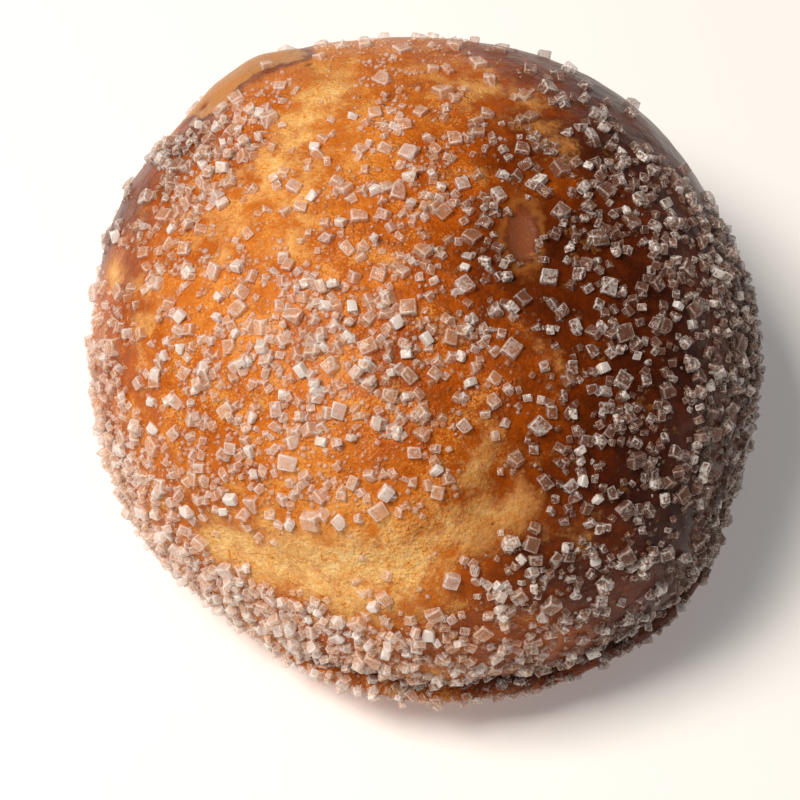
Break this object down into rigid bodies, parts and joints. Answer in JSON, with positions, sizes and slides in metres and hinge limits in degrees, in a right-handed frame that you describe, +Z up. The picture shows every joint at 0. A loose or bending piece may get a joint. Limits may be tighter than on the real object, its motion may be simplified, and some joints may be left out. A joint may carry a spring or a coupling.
{
  "type": "sugared brioche bun",
  "caption": "Round domed brioche bun with a browned egg-washed crust, pale splits and coarse sugar crystals, flat underneath.",
  "frame": {"origin": "middle of the flat underside, on the surface that the bun rests on", "axes": "+Z up through the crown, -Y towards the side with the creased foot, +X to the right of that side"},
  "size_m": [0.0951, 0.0965, 0.058],
  "materials": {
    "crust": "egg-washed baked crust, golden to dark brown, soft gloss, pale porous splits",
    "sugar": "coarse translucent sugar crystals, frosted faces and brighter edges"
  },
  "bodies": {
    "root": {"brioche": "crust"}
  },
  "joints": []
}
